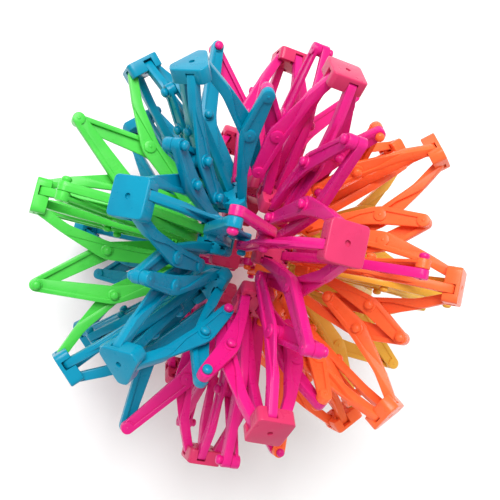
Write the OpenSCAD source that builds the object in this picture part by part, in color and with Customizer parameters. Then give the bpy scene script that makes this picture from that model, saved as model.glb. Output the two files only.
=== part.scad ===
// Expanding ball of scissor struts, shown closed.
// Each of 26 directions has an outer and an inner hub, and four struts join each of 48 neighbouring pairs.
// A strut turns on a bar in its hub, crosses its partner on a pivot pin and meets the next pair at its tip.

/* [Linkage] */
// Strut length from its hub bar to its pivot pin
arm_l = 25.2; // [24:0.1:26]
// Lean of the struts when the ball is closed, in degrees from open
lean = 72.5; // [70:0.5:73]
// Height of the hub bars over the plane where the two hubs of a pair would meet
hub_rise = 10.9; // [10.5:0.1:11.3]

/* [Hubs] */
// Width of a four-way hub across its flats
hub_w = 11.5; // [11:0.1:12]
// Distance from a three-way hub's middle to its flats
tri_flat = 4.7; // [4.5:0.1:5]
// Thickness of a hub from its flat face to its open side
hub_t = 4.8; // [4.6:0.1:6]
// Thickness of the hub's flat face
roof_t = 1.2; // [1:0.1:1.4]
// Radius of the small blind hole in the flat face
dimple_r = 0.9; // [0.5:0.1:1]

/* [Struts] */
// Thickness of a strut
strut_t = 2.8; // [2.2:0.1:2.8]
// Radius of the strut's rounded hub end
root_r = 1.55; // [1.4:0.05:1.6]
// Half width of the slim neck
neck_r = 1.75; // [1.5:0.05:2]
// Half width at the pivot
waist_r = 3.1; // [2.6:0.1:3.2]
// Radius of the rounded tip
tip_r = 2.3; // [2:0.1:2.4]
// Radius of the pivot and tip pins
pin_r = 1.3; // [1:0.05:1.4]
// Radius of the bar that turns in the hub
bar_r = 1; // [0.8:0.05:1.1]

/* [Fits] */
// Radial clearance round a pin or bar
run_gap = 0.06; // [0.03:0.01:0.1]
// Gap between two struts that lie side by side
side_gap = 0.1; // [0.08:0.02:0.2]

/* [Hidden] */
$fn = 48;
// The angles of the linkage: four-fold hubs are 45 degrees from two-fold ones, three-fold hubs nearer
bend = 45 / 4;
span_four = 45;
span_three = acos(sqrt(2 / 3));
outer_r = hub_rise + arm_l * cos(lean - bend) / sin(bend);
inner_r = hub_rise + arm_l * cos(lean + bend) / sin(bend);
pivot_r = arm_l * cos(lean) / sin(bend);
cap_h = 3;
ball_z = outer_r + cap_h;
bar_l = 4.7;
head_r = 1.7;
head_h = 0.9;
corner_four = 7.4;
corner_three = 6.9;
dimple_h = 0.8;
neck_share = 0.42;
neck_bow = 0.9;
lip_w = 1.9;
tuck = 0.02;

// The 26 directions, as steps of -1, 0 or 1 along each axis
STEPS = [-1, 0, 1];
DIRS = [for (z = STEPS) for (y = STEPS) for (x = STEPS) if (norm([x, y, z]) > 0) [x, y, z]];

function way(v, low, high) = v < 0 ? low : v > 0 ? high : "";
function place_name(d) = str(way(d.z, "_bottom", "_top"), way(d.y, "_front", "_back"), way(d.x, "_left", "_right"));
function hub_name(d) = str("hub", place_name(d));
function arms_name(d) = str("arms", place_name(d));

function unit(v) = v / norm(v);
function ways(d) = round(d * d);
function next_to(d) = [for (e = DIRS) if (round((e - d) * (e - d)) == 1) e];
function span(d, e) = ways(d) * ways(e) == 2 ? span_four : span_three;
function lead(d) = ways(d) != 2;
function across(d, e) = unit(unit(e) - unit(d) * (unit(e) * unit(d)));
function bar_x(angle) = hub_rise * tan(angle / 2);
function arm_pin(angle) = [bar_x(angle) + pivot_r * sin(bend), hub_rise + pivot_r * cos(bend)];
function tip_reach(angle, side) =
    let (tip_bend = angle / 2 - bend, tip_l = arm_l * sin(tip_bend) / sin(bend))
    hub_rise / cos(angle / 2) + pivot_r * cos(tip_bend) + side * tip_l * sin(lean);
function tip_pin(angle, side) = tip_reach(angle, side) * [sin(angle / 2), cos(angle / 2)];
function shade(d) = d.x < 0 ? "#00b4d8" : d.x > 0 ? "#ff6a3a" : "#f52c9c";
function strut_shade(d, e) =
    d == [-1, 0, 0] || e == [-1, 0, 0] ? "#5cf060" : d == [1, 0, 0] || e == [1, 0, 0] ? "#ffc84a" : shade(d);
function hub_shade(d) = d == [-1, 0, 0] ? "#5cf060" : d == [1, 0, 0] ? "#ffc84a" : shade(d);

// Stands a child drawn in a hub's own frame in the ball: x runs towards the next hub, z runs outwards
module stand(d, e) {
    x = across(d, e);
    z = unit(d);
    y = cross(z, x);
    translate([0, 0, ball_z])
        multmatrix([[x.x, y.x, z.x, 0], [x.y, y.y, z.y, 0], [x.z, y.z, z.z, 0], [0, 0, 0, 1]])
            children();
}

// A bar of changing width between two rounded places, its corners tucked just inside them
module taper(a, a_r, b, b_r) {
    l = norm(b - a);
    turn = atan2(b.y - a.y, b.x - a.x);
    lift = acos((a_r - b_r) / l);
    up = [cos(turn + lift), sin(turn + lift)];
    down = [cos(turn - lift), sin(turn - lift)];
    a_in = a_r - tuck;
    b_in = b_r - tuck;
    polygon([a + a_in * down, b + b_in * down, b + b_in * up, a + a_in * up]);
}

// Seen from the side: slim neck from the hub, widest at the pivot, narrowing to the tip. The neck of an outer
// strut bows towards the next hub, and that of an inner strut bows away from it, clear of the tips.
module strut_shape(bar, pivot, tip) {
    along = unit(pivot - bar);
    neck = bar + along * arm_l * neck_share + neck_bow * [-along.y, along.x];
    translate(bar) circle(root_r);
    translate(neck) circle(neck_r);
    translate(pivot) circle(waist_r);
    translate(tip) circle(tip_r);
    taper(bar, root_r, neck, neck_r);
    taper(neck, neck_r, pivot, waist_r);
    taper(pivot, waist_r, tip, tip_r);
}

// Runs along the hub frame's y, from one height to another
module rod(at, r, from, to) {
    translate([at.x, from, at.y]) rotate([-90, 0, 0]) cylinder(h = to - from, r = r);
}

// side is 1 for the strut of the outer hub and -1 for the inner hub's; a strut with pins has no eyes
module strut(angle, side, has_pins) {
    bar = [bar_x(angle), side > 0 ? outer_r : inner_r];
    pivot = arm_pin(angle);
    tip = tip_pin(angle, -side);
    own = side * (side_gap + strut_t) / 2;
    low = own - strut_t / 2;
    other = -side * (side_gap / 2 + strut_t);
    neck_end = other - side * run_gap;
    head = neck_end - side * head_h;
    difference() {
        union() {
            translate([0, low + strut_t, 0]) rotate([90, 0, 0]) linear_extrude(strut_t) strut_shape(bar, pivot, tip);
            rod(bar, bar_r, own - bar_l / 2, own + bar_l / 2);
        }
        if (!has_pins) {
            rod(pivot, pin_r + run_gap, low - 1, low + strut_t + 1);
            rod(tip, pin_r + run_gap, low - 1, low + strut_t + 1);
            mouth(tip, angle, low);
        }
    }
    if (has_pins) for (at = [pivot, tip]) {
        rod(at, pin_r, min(own, neck_end), max(own, neck_end));
        rod(at, head_r, min(neck_end, head), max(neck_end, head));
    }
}

// The tip eye is open towards the neighbouring hub, the way its pin leaves when the ball opens
module mouth(tip, angle, low) {
    w = pin_r + run_gap;
    translate([tip.x, low - 1, tip.y]) rotate([0, angle / 2, 0]) translate([0, 0, -w])
        cube([2 * tip_r, strut_t + 2, 2 * w]);
}

module hub_outline(d) {
    intersection() {
        if (ways(d) == 3) rotate(180) circle(r = 2 * tri_flat, $fn = 3);
        else square(hub_w, center = true);
        circle(ways(d) == 3 ? corner_three : corner_four);
    }
}

// One socket: a slot for the strut on its own side of the middle, and a snap groove for its bar. The flat face
// is cap_h over the bars.
module socket(d, e, r, side) {
    x = bar_x(span(d, e));
    play = 0.15;
    end_r = root_r + play;
    own = side * (side_gap + strut_t) / 2;
    groove_l = bar_l + 2 * play;
    stand(d, e) {
        slot_low = own - strut_t / 2 - play;
        slot_z = side > 0 ? r - hub_t : r - cap_h + roof_t;
        translate([x - end_r, slot_low, slot_z]) cube([hub_w, strut_t + 2 * play, hub_t + cap_h - roof_t]);
        rod([x, r], bar_r + run_gap, own - groove_l / 2, own + groove_l / 2);
        translate([x - lip_w / 2, own - groove_l / 2, side > 0 ? r - hub_t : r]) cube([lip_w, groove_l, hub_t]);
    }
}

module one_hub(d, r, side) {
    first = next_to(d)[0];
    low = side > 0 ? r + cap_h - hub_t : r - cap_h;
    difference() {
        stand(d, first) translate([0, 0, low]) linear_extrude(hub_t) hub_outline(d);
        for (e = next_to(d)) socket(d, e, r, side);
        stand(d, first) translate([0, 0, side > 0 ? r + cap_h - dimple_h : r - cap_h - 1])
            cylinder(h = dimple_h + 1, r = dimple_r);
    }
}

module hub(d) {
    color(hub_shade(d)) {
        one_hub(d, outer_r, 1);
        one_hub(d, inner_r, -1);
    }
}

// A leading hub is four-fold or three-fold: its inner struts carry pins, and the two-fold hub's outer ones do
module arms(d) {
    for (e = next_to(d)) color(strut_shade(d, e)) stand(d, e) {
        strut(span(d, e), 1, !lead(d));
        strut(span(d, e), -1, lead(d));
    }
}

for (d = DIRS) hub(d);
for (d = DIRS) arms(d);
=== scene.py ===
from math import acos, cos, pi, radians, sin, sqrt, tan

import bmesh
import bpy
import numpy as np
from mathutils import Matrix, Vector


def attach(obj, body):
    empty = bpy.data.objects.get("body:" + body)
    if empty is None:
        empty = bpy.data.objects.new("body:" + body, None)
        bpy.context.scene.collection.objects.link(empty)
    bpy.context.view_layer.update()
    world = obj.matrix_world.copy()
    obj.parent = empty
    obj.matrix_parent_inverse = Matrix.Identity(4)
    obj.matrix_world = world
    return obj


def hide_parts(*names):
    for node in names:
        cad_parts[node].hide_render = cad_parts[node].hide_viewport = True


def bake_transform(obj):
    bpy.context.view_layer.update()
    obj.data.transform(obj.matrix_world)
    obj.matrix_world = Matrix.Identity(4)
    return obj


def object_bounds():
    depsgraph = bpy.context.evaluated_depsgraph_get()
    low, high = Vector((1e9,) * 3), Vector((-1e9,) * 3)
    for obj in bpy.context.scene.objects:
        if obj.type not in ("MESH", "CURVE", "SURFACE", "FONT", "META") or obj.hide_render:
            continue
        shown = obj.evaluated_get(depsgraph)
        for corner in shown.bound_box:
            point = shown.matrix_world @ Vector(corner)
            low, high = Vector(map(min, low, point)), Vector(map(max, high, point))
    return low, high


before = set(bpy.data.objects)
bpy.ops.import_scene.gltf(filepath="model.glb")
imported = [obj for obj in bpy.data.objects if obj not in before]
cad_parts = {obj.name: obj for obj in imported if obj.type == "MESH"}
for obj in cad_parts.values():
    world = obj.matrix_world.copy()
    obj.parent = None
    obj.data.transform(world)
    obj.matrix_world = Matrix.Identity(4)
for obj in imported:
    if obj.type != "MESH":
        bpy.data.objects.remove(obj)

cad_low, cad_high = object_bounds()


# Stand and light: the closed ball stands on a plain pale table under a large soft box. A normal lens looks
# down on it from close above, a little from the left and the front. Two weaker panels stand to its right
# and in front.
ball_middle = (cad_low + cad_high) / 2
to_camera = Vector((-0.3232, -0.105, 0.9405)).normalized()
picture_up = Vector((-0.2408, 0.9702, 0.0256))
camera_distance = 0.238


def aimed(place, towards, up):
    back = (place - towards).normalized()
    right = up.cross(back).normalized()
    turn = Matrix((right, back.cross(right), back)).transposed().to_4x4()
    return Matrix.Translation(place) @ turn


camera_data = bpy.data.cameras.new("camera")
camera_data.sensor_width = 36
camera_data.lens = 47.1
camera_data.shift_x = 0.0066
camera_data.shift_y = 0.002
camera_data.clip_start = 0.01
camera = bpy.data.objects.new("camera", camera_data)
camera.matrix_world = aimed(ball_middle + camera_distance * to_camera, ball_middle, picture_up)
bpy.context.scene.collection.objects.link(camera)
bpy.context.scene.camera = camera


panel_up = Vector((0.0, 1.0, 0.1))


def soft_panel(name, place, size, watts):
    data = bpy.data.lights.new(name, "AREA")
    data.energy = watts
    data.size = size
    panel = bpy.data.objects.new(name, data)
    panel.matrix_world = aimed(Vector(place), ball_middle, panel_up)
    bpy.context.scene.collection.objects.link(panel)


soft_panel("soft_box", (-0.3, 0.34, 0.8), 0.5, 9)
soft_panel("right_panel", (0.8, 0.1, 0.45), 0.6, 1.5)
soft_panel("front_panel", (-0.1, -0.9, 0.4), 0.6, 1.2)

room = bpy.data.worlds.new("white_room")
room.use_nodes = True
room.node_tree.nodes["Background"].inputs["Color"].default_value = (1, 1, 1, 1)
room.node_tree.nodes["Background"].inputs["Strength"].default_value = 0.52
bpy.context.scene.world = room
bpy.context.scene.view_settings.view_transform = "Standard"


def linear(hex_colour):
    """An sRGB hex value as the linear colour that a shader takes."""
    parts = [int(hex_colour[i:i + 2], 16) / 255 for i in (1, 3, 5)]
    return [c / 12.92 if c <= 0.04045 else ((c + 0.055) / 1.055) ** 2.4 for c in parts] + [1.0]


def add(tree, kind, settings=None, links=None):
    """Adds a node; settings are its properties or input values, and links feed its inputs."""
    node = tree.nodes.new(kind)
    for key, value in (settings or {}).items():
        if key in node.inputs:
            node.inputs[key].default_value = value
        else:
            setattr(node, key, value)
    for key, source in (links or {}).items():
        tree.links.new(source, node.inputs[key])
    return node


def painted_table_top():
    """Matt white paint: no gloss, and a faint roller texture of about 1.5 mm."""
    paint = bpy.data.materials.new("matt_white_paint")
    paint.use_nodes = True
    tree = paint.node_tree
    shader = tree.nodes["Principled BSDF"]
    shader.inputs["Base Color"].default_value = linear("#fafafa")
    shader.inputs["Roughness"].default_value = 0.85
    shader.inputs["Specular IOR Level"].default_value = 0.2
    place = add(tree, "ShaderNodeTexCoord")
    roller = add(tree, "ShaderNodeTexNoise", {"Scale": 1 / 0.0015}, {"Vector": place.outputs["Object"]})
    bump = add(tree, "ShaderNodeBump", {"Strength": 0.03, "Distance": 0.0001},
               {"Height": roller.outputs["Fac"]})
    tree.links.new(bump.outputs["Normal"], shader.inputs["Normal"])
    return paint


table_half = 2.5
table_corners = [(-table_half, -table_half, 0), (table_half, -table_half, 0),
                 (table_half, table_half, 0), (-table_half, table_half, 0)]
table_mesh = bpy.data.meshes.new("table_top")
table_mesh.from_pydata(table_corners, [], [(0, 1, 2, 3)])
table_top = bpy.data.objects.new("table_top", table_mesh)
table_mesh.materials.append(painted_table_top())
bpy.context.scene.collection.objects.link(table_top)


# Hubs: 18 square and 8 triangular ones outside and as many inside, moulded in dyed polypropylene. Each is an
# open cup with a flat face, a small moulding dimple, and a slot and a snap groove for every strut. An inner
# hub is the same piece turned round, its flat face towards the middle of the ball.
mm = 0.001
outer_bar_height = 73.03
inner_bar_height = 24.97
face_over_bar = 3.0
hub_depth = 4.8
square_flat, square_corner = 5.75, 7.6
triangle_flat, triangle_corner = 4.7, 6.8
corner_sharpness = 40
face_edge_round = 0.4
face_edge_steps = 4
rim_edge = ((0.3, 0.0), (0.08, 0.12), (0.0, 0.4))  # (set in, height over the rim)
face_thickness = 1.2
slot_behind_bar = 1.7
groove_mouth_half = 0.95
dimple_radius = 0.9
dimple_depth = 0.8
hub_crease = 35
hub_rise = 10.9
socket_play = 0.15
running_gap = 0.06
strut_thickness = 2.8
side_gap = 0.1
bar_radius = 1.0
bar_length = 4.7
wide_span = radians(45)
narrow_span = acos(sqrt(2 / 3))
directions = [(x, y, z) for z in (-1, 0, 1) for y in (-1, 0, 1) for x in (-1, 0, 1) if x or y or z]


def place_name(d):
    words = (("bottom", "", "top")[d[2] + 1], ("front", "", "back")[d[1] + 1],
             ("left", "", "right")[d[0] + 1])
    return "_".join(w for w in words if w)


def neighbours(d):
    return [e for e in directions if sum((p - q) ** 2 for p, q in zip(d, e)) == 1]


def first_way(d):
    """The neighbour from which a hub's sockets are counted; on a hub with two kinds, a wide-span one."""
    return min(neighbours(d), key=lambda e: sum(map(abs, e)))


def span_between(d, e):
    folds = sorted((sum(map(abs, d)), sum(map(abs, e))))
    return wide_span if folds == [1, 2] else narrow_span


def bar_offset(span):
    return hub_rise * tan(span / 2)


def standing(d, e):
    """From a hub's own frame to the ball's: x runs towards the neighbour e, and z outwards."""
    z = Vector(d).normalized()
    x = (Vector(e).normalized() - z * z.dot(Vector(e).normalized())).normalized()
    turn = Matrix((x, z.cross(x), z)).transposed().to_4x4()
    return Matrix.Translation(ball_middle) @ turn


def band_colour(d):
    if abs(d[0]) == 1 and not d[1] and not d[2]:
        return "green" if d[0] < 0 else "yellow"
    return ("cyan", "pink", "orange")[d[0] + 1]


def moulded_polypropylene(name, body, deep):
    """Satin polypropylene, dyed through: a soft even gloss, a little light carried inside, and colour that
    runs slightly deeper where the melt flowed last."""
    plastic = bpy.data.materials.new(name)
    plastic.use_nodes = True
    tree = plastic.node_tree
    shader = tree.nodes["Principled BSDF"]
    shader.inputs["IOR"].default_value = 1.49
    shader.inputs["Subsurface Weight"].default_value = 0.08
    shader.inputs["Subsurface Radius"].default_value = (1.0, 0.6, 0.6)
    shader.inputs["Subsurface Scale"].default_value = 0.0015
    shader.inputs["Specular IOR Level"].default_value = 0.28
    flow_marks, handling_marks = 0.012, 0.004
    place = add(tree, "ShaderNodeTexCoord")
    flow = add(tree, "ShaderNodeTexNoise", {"Scale": 1 / flow_marks, "Detail": 2.0, "Distortion": 0.6},
               {"Vector": place.outputs["Object"]})
    colour = add(tree, "ShaderNodeMix", {"data_type": "RGBA"})
    colour.inputs[6].default_value = linear(body)
    colour.inputs[7].default_value = linear(deep)
    depth = add(tree, "ShaderNodeMapRange",
                {"From Min": 0.45, "From Max": 0.8, "To Min": 0.0, "To Max": 0.55},
                {"Value": flow.outputs["Fac"]})
    tree.links.new(depth.outputs["Result"], colour.inputs[0])
    tree.links.new(colour.outputs[2], shader.inputs["Base Color"])
    handling = add(tree, "ShaderNodeTexNoise", {"Scale": 1 / handling_marks, "Detail": 4.0},
                   {"Vector": place.outputs["Object"]})
    sheen = add(tree, "ShaderNodeMapRange", {"To Min": 0.22, "To Max": 0.36},
                {"Value": handling.outputs["Fac"]})
    tree.links.new(sheen.outputs["Result"], shader.inputs["Roughness"])
    # The mould's spark texture is about 0.1 mm; it is drawn at 0.4 mm so that it shows.
    spark_drawn = 0.0004
    spark = add(tree, "ShaderNodeTexNoise", {"Scale": 1 / spark_drawn, "Detail": 3.0},
                {"Vector": place.outputs["Object"]})
    bump = add(tree, "ShaderNodeBump", {"Strength": 0.12, "Distance": 0.00005},
               {"Height": spark.outputs["Fac"]})
    tree.links.new(bump.outputs["Normal"], shader.inputs["Normal"])
    return plastic


plastics = {
    "green": moulded_polypropylene("green_moulded_polypropylene", "#4ecb4a", "#34b23c"),
    "cyan": moulded_polypropylene("cyan_moulded_polypropylene", "#0088a8", "#007294"),
    "pink": moulded_polypropylene("pink_moulded_polypropylene", "#d81c7c", "#c2166e"),
    "coral": moulded_polypropylene("coral_pink_moulded_polypropylene", "#cc3462", "#b82c58"),
    "orange": moulded_polypropylene("orange_moulded_polypropylene", "#fb6c38", "#f05628"),
    "yellow": moulded_polypropylene("yellow_moulded_polypropylene", "#e6b040", "#cc962c"),
}


def loops_to_mesh(bm, loops):
    """Skins equal loops of points, and caps the first and the last."""
    rows = [[bm.verts.new(p) for p in loop] for loop in loops]
    for low, high in zip(rows, rows[1:]):
        for k in range(len(low)):
            n = (k + 1) % len(low)
            bm.faces.new((low[k], low[n], high[n], high[k]))
    bm.faces.new(rows[0][::-1])
    bm.faces.new(rows[-1])


def hub_outline(flats, flat, corner, height, count=72):
    """A square or a triangle, its corners trimmed round; every flat faces a neighbour."""
    points = []
    for k in range(count):
        turn = 2 * pi * k / count
        near = (turn + pi / flats) % (2 * pi / flats) - pi / flats
        edge = flat / cos(near)
        r = (edge ** -corner_sharpness + corner ** -corner_sharpness) ** (-1 / corner_sharpness)
        points.append(Vector((r * cos(turn), r * sin(turn), height)))
    return points


def box_cutter(bm, low, high):
    made = bmesh.ops.create_cube(bm, size=1)["verts"]
    for v in made:
        v.co = Vector(low[i] if v.co[i] < 0 else high[i] for i in range(3))


def lathed(bm, profile, origin, axis, count=24):
    """Turns (radius, height) pairs round an axis; radius 0 closes the end in a point."""
    side = axis.orthogonal().normalized()
    other = axis.cross(side)
    rows = []
    for r, h in profile:
        if r == 0:
            rows.append([bm.verts.new(origin + axis * h)])
        else:
            rows.append([bm.verts.new(origin + axis * h + r * (side * cos(t) + other * sin(t)))
                         for t in (2 * pi * k / count for k in range(count))])
    for low, high in zip(rows, rows[1:]):
        for k in range(count):
            n = (k + 1) % count
            if len(low) == 1:
                bm.faces.new((low[0], high[n], high[k]))
            elif len(high) == 1:
                bm.faces.new((low[k], low[n], high[0]))
            else:
                bm.faces.new((low[k], low[n], high[n], high[k]))


def as_mesh(bm, name):
    bmesh.ops.recalc_face_normals(bm, faces=bm.faces)
    mesh = bpy.data.meshes.new(name)
    bm.to_mesh(mesh)
    bm.free()
    return mesh


def cut_away(body, cutter, name):
    """The body with the cutter's solids taken out of it."""
    solid = bpy.data.objects.new("body", body)
    tool = bpy.data.objects.new("tool", cutter)
    for o in (solid, tool):
        bpy.context.scene.collection.objects.link(o)
    cut = solid.modifiers.new("cut", "BOOLEAN")
    cut.object = tool
    cut.operation = "DIFFERENCE"
    cut.solver = "EXACT"
    cut.use_self = True
    shape = bpy.data.meshes.new_from_object(solid.evaluated_get(bpy.context.evaluated_depsgraph_get()))
    shape.name = name
    for o in (solid, tool):
        bpy.data.objects.remove(o)
    return shape


def moulded_hub(d):
    """One hub in millimetres, its bars' plane at height 0 and its flat face up."""
    ways = len(neighbours(d))
    flat, corner = (triangle_flat, triangle_corner) if ways == 3 else (square_flat, square_corner)
    top, bottom = face_over_bar, face_over_bar - hub_depth
    loops = [hub_outline(ways, flat - inset, corner - inset, bottom + height) for inset, height in rim_edge]
    for step in range(face_edge_steps + 1):
        turn = step / face_edge_steps * pi / 2
        inset = face_edge_round * (1 - cos(turn))
        height = top - face_edge_round * (1 - sin(turn))
        loops.append(hub_outline(ways, flat - inset, corner - inset, height))
    body = bmesh.new()
    loops_to_mesh(body, loops)
    blade = (side_gap + strut_thickness) / 2
    slot_half = strut_thickness / 2 + socket_play
    groove_half = bar_length / 2 + socket_play
    groove_radius = bar_radius + running_gap
    groove = [(0, -groove_half), (groove_radius, -groove_half),
              (groove_radius, groove_half), (0, groove_half)]
    overrun = 1.0
    past_side = 12
    cutter = bmesh.new()
    to_first = standing(d, first_way(d)).to_3x3().inverted()
    for e in neighbours(d):
        socket = bmesh.new()
        x = bar_offset(span_between(d, e))
        box_cutter(socket, (x - slot_behind_bar, blade - slot_half, bottom - overrun),
                   (x + past_side, blade + slot_half, top - face_thickness))
        box_cutter(socket, (x - groove_mouth_half, blade - groove_half, bottom - overrun),
                   (x + groove_mouth_half, blade + groove_half, 0))
        lathed(socket, groove, Vector((x, blade, 0)), Vector((0, 1, 0)))
        bmesh.ops.recalc_face_normals(socket, faces=socket.faces)
        socket.transform((to_first @ standing(d, e).to_3x3()).to_4x4())
        part = bpy.data.meshes.new("socket")
        socket.to_mesh(part)
        socket.free()
        cutter.from_mesh(part)
    dimple_foot = top - dimple_depth
    lathed(cutter, [(0, dimple_foot), (dimple_radius - 0.05, dimple_foot + 0.05),
                    (dimple_radius, top + overrun), (0, top + overrun)], Vector(), Vector((0, 0, 1)))
    return cut_away(as_mesh(body, "hub_body"), as_mesh(cutter, "hub_sockets"), "hub")


def shown(mesh, name, plastic):
    piece = bpy.data.objects.new(name, mesh)
    mesh.materials.clear()
    mesh.materials.append(plastics[plastic])
    bpy.context.scene.collection.objects.link(piece)
    return piece


def softened(mesh, degrees_sharp):
    """Smooth shading, with creases left where faces meet more sharply than this."""
    mesh.shade_smooth()
    mesh.set_sharp_from_angle(angle=radians(degrees_sharp))


turned_round = Matrix.Rotation(pi, 4, "X")
hub_kinds = {}
for d in directions:
    kind = sum(map(abs, d))
    if kind not in hub_kinds:
        hub_kinds[kind] = moulded_hub(d)
        softened(hub_kinds[kind], hub_crease)
    node = "hub_" + place_name(d)
    for where, height, turn in (("outer", outer_bar_height, Matrix()),
                                ("inner", inner_bar_height, turned_round)):
        mesh = hub_kinds[kind].copy()
        place = standing(d, first_way(d)) @ Matrix.Translation((0, 0, height * mm)) @ Matrix.Scale(mm, 4)
        mesh.transform(place @ turn)
        colour = band_colour(d)
        hub = shown(mesh, f"{where}_{node}", "coral" if colour == "pink" else colour)
        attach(hub, node)
        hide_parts(node)


# Struts: 192 flat polypropylene bars with a bend at the pivot, moulded with a cross bar at the root that
# snaps into a hub. Half of them carry two round-headed snap pins, and the other half the eyes for them.
# Each is a thin web, kept stiff by a rib along the outside of its bend and by round bosses at its joints.
arm = 25.2
bend = radians(11.25)
lean = radians(72.5)
pivot_height = arm * cos(lean) / sin(bend)
root_half, neck_half, waist_half, tip_half = 1.55, 1.75, 3.1, 2.15
neck_share = 0.42
neck_bow = 0.9
spine_points = 29
bend_softness = 1.8
web_thickness = 1.1
web_sunk_with_pins, web_sunk_with_eyes = 0.6, 0.4
web_foot_edge = 0.16
web_face_edge = 0.22
rib_edge = 0.25
edge_middle = 0.07
rib_width_half = 0.85
rib_slims_at = (0, 6, 13)  # the points of the spine where it has the root's, the neck's and its own width
rib_set_in = 0.03
pivot_boss = 2.15
tip_boss = tip_half - 0.04
boss_foot_edge = 0.2
boss_face_edge = ((0, -0.22), (-0.07, -0.05), (-0.25, 0.02))  # (out, up) from the corner that it rounds
bar_end_edge = 0.2
pin_radius = 1.3
# (radius, height) over the eye that the pin goes through, and over the boss that the nub stands on
pin_head = ((pin_radius, 0.1), (1.36, 0.3), (1.5, 0.55), (1.54, 0.85), (1.45, 1.2), (1.2, 1.52),
            (0.75, 1.74), (0, 1.82))
nub = ((0, -0.3), (0.55, -0.3), (0.5, 0.12), (0.3, 0.25), (0, 0.28))
bore_length = 6
strut_crease = 40
# How far from its middle each joint has one even share of travel with the next hub
bar_keeps, pivot_keeps, tip_keeps = 2.5, 2.9, 2.4


def strut_places(span, side):
    """Where a strut's bar, pivot pin and tip pin lie in its hub's frame, as (x, z)."""
    x = bar_offset(span)
    bar = np.array((x, outer_bar_height if side > 0 else inner_bar_height))
    pivot = np.array((x + pivot_height * sin(bend), hub_rise + pivot_height * cos(bend)))
    tip_bend = span / 2 - bend
    tip_arm = arm * sin(tip_bend) / sin(bend)
    tip_height = hub_rise / cos(span / 2) + pivot_height * cos(tip_bend) - side * tip_arm * sin(lean)
    return bar, pivot, tip_height * np.array((sin(span / 2), cos(span / 2)))


def strut_spine(bar, pivot, tip):
    """Points down the middle of a strut, with its half width at each: slim neck, broad waist, round tip."""
    along = (pivot - bar) / arm
    neck = bar + neck_share * arm * along + neck_bow * np.array((-along[1], along[0]))
    corners = np.array((bar, neck, pivot, tip))
    lengths = np.append(0, np.cumsum(np.linalg.norm(np.diff(corners, axis=0), axis=1)))
    steps = np.linspace(0, lengths[-1], spine_points)
    softness = np.minimum(bend_softness, np.minimum(steps, lengths[-1] - steps))
    around = steps[:, None] + softness[:, None] * np.linspace(-1, 1, 9)
    spine = np.stack([np.interp(around, lengths, corners[:, k]).mean(1) for k in (0, 1)], 1)
    widths = np.interp(around, lengths, (root_half, neck_half, waist_half, tip_half)).mean(1)
    return spine, widths


def run_of(spine):
    """The unit direction in which a spine runs at each of its points."""
    run = np.gradient(spine, axis=0)
    run /= np.linalg.norm(run, axis=1)[:, None]
    return run


def strut_loop(spine, widths, inset, y, cap=7):
    """The strut's outline, set in from its edge, at one height of its thickness."""
    run = run_of(spine)
    across = np.stack([-run[:, 1], run[:, 0]], 1)
    half = (widths - inset)[:, None]
    points = list(spine + across * half)
    for end, first, last in ((-1, across[-1], run[-1]), (0, -across[0], -run[0])):
        turns = [pi * k / (cap + 1) for k in range(1, cap + 1)]
        points += [spine[end] + half[end] * (first * cos(t) + last * sin(t)) for t in turns]
        if end == -1:
            points += list((spine - across * half)[::-1])
    return [Vector((p[0], y, p[1])) for p in points]


def web_and_rib(own, spine, widths, side, has_pins):
    """The web, sunk under the outer face, and the rib of full thickness along the outside of the bend."""
    inner_face = side * side_gap / 2
    outer_face = side * (side_gap / 2 + strut_thickness)
    web_face = outer_face - side * (web_sunk_with_pins if has_pins else web_sunk_with_eyes)
    web_foot = web_face - side * web_thickness
    web = [(web_foot_edge, web_foot), (0, web_foot + side * web_foot_edge),
           (0, web_face - side * web_face_edge), (edge_middle, web_face - side * edge_middle),
           (web_face_edge, web_face)]
    loops_to_mesh(own, [strut_loop(spine, widths, inset, y) for inset, y in web])
    rib_half = np.interp(np.arange(spine_points), rib_slims_at, (root_half, neck_half, rib_width_half))
    rib_half = np.clip(rib_half, 0, widths) - rib_set_in
    run = run_of(spine)
    outside_of_bend = side * np.stack([run[:, 1], -run[:, 0]], 1)
    rib_spine = spine + outside_of_bend * (widths - rib_set_in - rib_half)[:, None]
    rib = [(rib_edge, inner_face), (edge_middle, inner_face + side * edge_middle),
           (0, inner_face + side * rib_edge), (0, outer_face - side * rib_edge),
           (edge_middle, outer_face - side * edge_middle), (rib_edge, outer_face)]
    loops_to_mesh(own, [strut_loop(rib_spine, rib_half, inset, y) for inset, y in rib])


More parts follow.
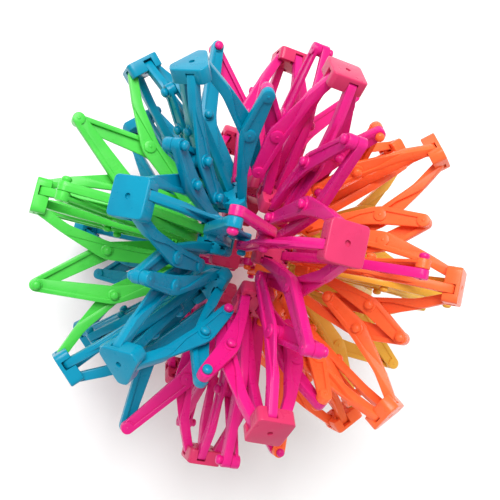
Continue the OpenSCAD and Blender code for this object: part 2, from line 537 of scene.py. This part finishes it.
def moulded_strut(span, side, has_pins):
    """One strut in its hub's frame, in millimetres. The strut of an outer hub lies on the y side above 0.
    Its heights are measured from the plane where it slides on its partner, away from that partner."""
    bar, pivot, tip = strut_places(span, side)
    own = bmesh.new()
    web_and_rib(own, *strut_spine(bar, pivot, tip), side, has_pins)
    away = Vector((0, 1, 0)) * side
    blade = (side_gap + strut_thickness) / 2
    near, far = side_gap / 2, side_gap / 2 + strut_thickness
    start, stop = blade - bar_length / 2, blade + bar_length / 2
    lathed(own, [(0, start), (bar_radius - bar_end_edge, start), (bar_radius, start + bar_end_edge),
                 (bar_radius, stop - bar_end_edge), (bar_radius - bar_end_edge, stop), (0, stop)],
           Vector((bar[0], 0, bar[1])), away)
    for at, r in ((pivot, pivot_boss), (tip, tip_boss)):
        centre = Vector((at[0], 0, at[1]))
        boss_top = [(r + wider, far + higher) for wider, higher in boss_face_edge]
        lathed(own, [(0, near), (r - boss_foot_edge, near), (r, near + boss_foot_edge), *boss_top,
                     (0, boss_top[-1][1])], centre, away)
        if has_pins:
            eye_far_side = -(far + running_gap)
            lathed(own, [(0, blade), (pin_radius, blade), *((r, eye_far_side - h) for r, h in pin_head)],
                   centre, away)
            lathed(own, [(r, far + h) for r, h in nub], centre, away, 12)
    # A pin strut has no bores: its cutters stand clear of it, and the cut only joins its solids.
    bore_foot = 40 if has_pins else -1
    bore_radius = pin_radius + running_gap
    bores = bmesh.new()
    for at in (pivot, tip):
        lathed(bores, [(0, bore_foot), (bore_radius, bore_foot), (bore_radius, bore_foot + bore_length),
                       (0, bore_foot + bore_length)], Vector((at[0], 0, at[1])), away)
    return cut_away(as_mesh(own, "strut_body"), as_mesh(bores, "bores"), "strut")


def share_of_travel(mesh, span, side):
    """How far each point of a strut would go with the next hub: none at its own hub, half at the tip.
    The share is the same all over the bar, the pivot and the tip, and changes only along the arms between
    them."""
    bar, pivot, tip = strut_places(span, side)
    co = np.empty(len(mesh.vertices) * 3)
    mesh.vertices.foreach_get("co", co)
    points = co.reshape(-1, 3)[:, (0, 2)]
    tip_arm = np.linalg.norm(tip - pivot)
    at_pivot = 0.5 * arm / (arm + tip_arm)
    down_arm = ((points - bar) @ (pivot - bar) / arm - bar_keeps) / (arm - bar_keeps - pivot_keeps)
    down_tip = (points - pivot) @ (tip - pivot) / tip_arm - pivot_keeps
    down_tip /= tip_arm - pivot_keeps - tip_keeps
    return at_pivot * np.clip(down_arm, 0, 1) + (0.5 - at_pivot) * np.clip(down_tip, 0, 1)


def strut_colour(d, e):
    both = {band_colour(d), band_colour(e)}
    pole = both & {"green", "yellow"}
    return pole.pop() if pole else band_colour(d)


strut_kinds = {}
for d in directions:
    for e in neighbours(d):
        span = span_between(d, e)
        leads = sum(map(abs, d)) != 2
        for where, side in (("outer", 1), ("inner", -1)):
            has_pins = leads == (side < 0)
            kind = (span, side, has_pins)
            if kind not in strut_kinds:
                strut_kinds[kind] = moulded_strut(*kind)
                softened(strut_kinds[kind], strut_crease)
            mesh = strut_kinds[kind].copy()
            shares = share_of_travel(mesh, span, side)
            place = standing(d, e) @ Matrix.Scale(mm, 4)
            mesh.transform(place)
            name = f"{where}_strut_{place_name(d)}_to_{place_name(e)}"
            colour = strut_colour(d, e)
            strut = shown(mesh, name, colour)
            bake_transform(strut)
            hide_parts("arms_" + place_name(d))
